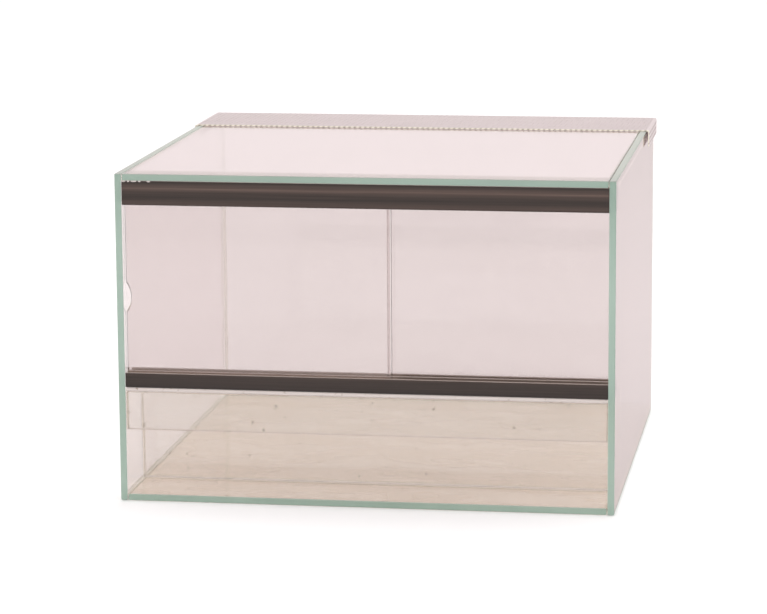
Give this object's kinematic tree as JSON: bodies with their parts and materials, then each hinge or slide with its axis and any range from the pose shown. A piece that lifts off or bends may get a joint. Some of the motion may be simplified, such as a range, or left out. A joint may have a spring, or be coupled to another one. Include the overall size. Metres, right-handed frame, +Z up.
{
  "type": "hamster cage",
  "caption": "Rectangular glass tank for a small pet, with sliding glass doors in tracks, a set-back lower front pane, an apron and a lift-off perforated vent cover.",
  "frame": {"origin": "middle of the floor pane's underside", "axes": "+X to the right of a person facing the doors, +Y from the front to the back, +Z up"},
  "size_m": [0.3028, 0.3019, 0.2009],
  "materials": {
    "pane_glass": "clear float glass with green ground edges",
    "door_glass": "clear float glass with green ground edges",
    "track_plastic": "extruded dark brown plastic, satin",
    "perforated_aluminium": "mill finish sheet, perforated",
    "silicone": "translucent silicone, slightly dusty"
  },
  "bodies": {
    "tank": {"floor_pane": "pane_glass", "left_side_pane": "pane_glass", "right_side_pane": "pane_glass", "back_pane": "pane_glass", "top_pane": "pane_glass", "front_lower_pane": "pane_glass", "front_apron": "pane_glass", "lower_track": "track_plastic", "upper_track": "track_plastic", "lower_vent_strip": "perforated_aluminium", "floor_left_seam": "silicone", "floor_right_seam": "silicone", "floor_back_seam": "silicone", "back_left_seam": "silicone", "back_right_seam": "silicone", "top_left_seam": "silicone", "top_right_seam": "silicone", "front_pane_floor_seam": "silicone", "front_pane_left_seam": "silicone", "front_pane_right_seam": "silicone", "apron_left_seam": "silicone", "apron_right_seam": "silicone", "lower_track_bead": "silicone", "upper_track_bond": "silicone", "strip_track_bond": "silicone", "strip_pane_bond": "silicone"},
    "left_door": {"left_door": "door_glass"},
    "right_door": {"right_door": "door_glass"},
    "vent_cover": {"vent_cover": "perforated_aluminium"}
  },
  "joints": [
    {"name": "left_door_slide", "type": "slide", "parent": "tank", "child": "left_door", "axis": [1, 0, 0], "range_m": [0, 0.129]},
    {"name": "right_door_slide", "type": "slide", "parent": "tank", "child": "right_door", "axis": [1, 0, 0], "range_m": [-0.157, 0]},
    {"name": "vent_cover_lift", "type": "slide", "parent": "tank", "child": "vent_cover", "axis": [0, 0, 1], "range_m": [0, 0.03]}
  ]
}
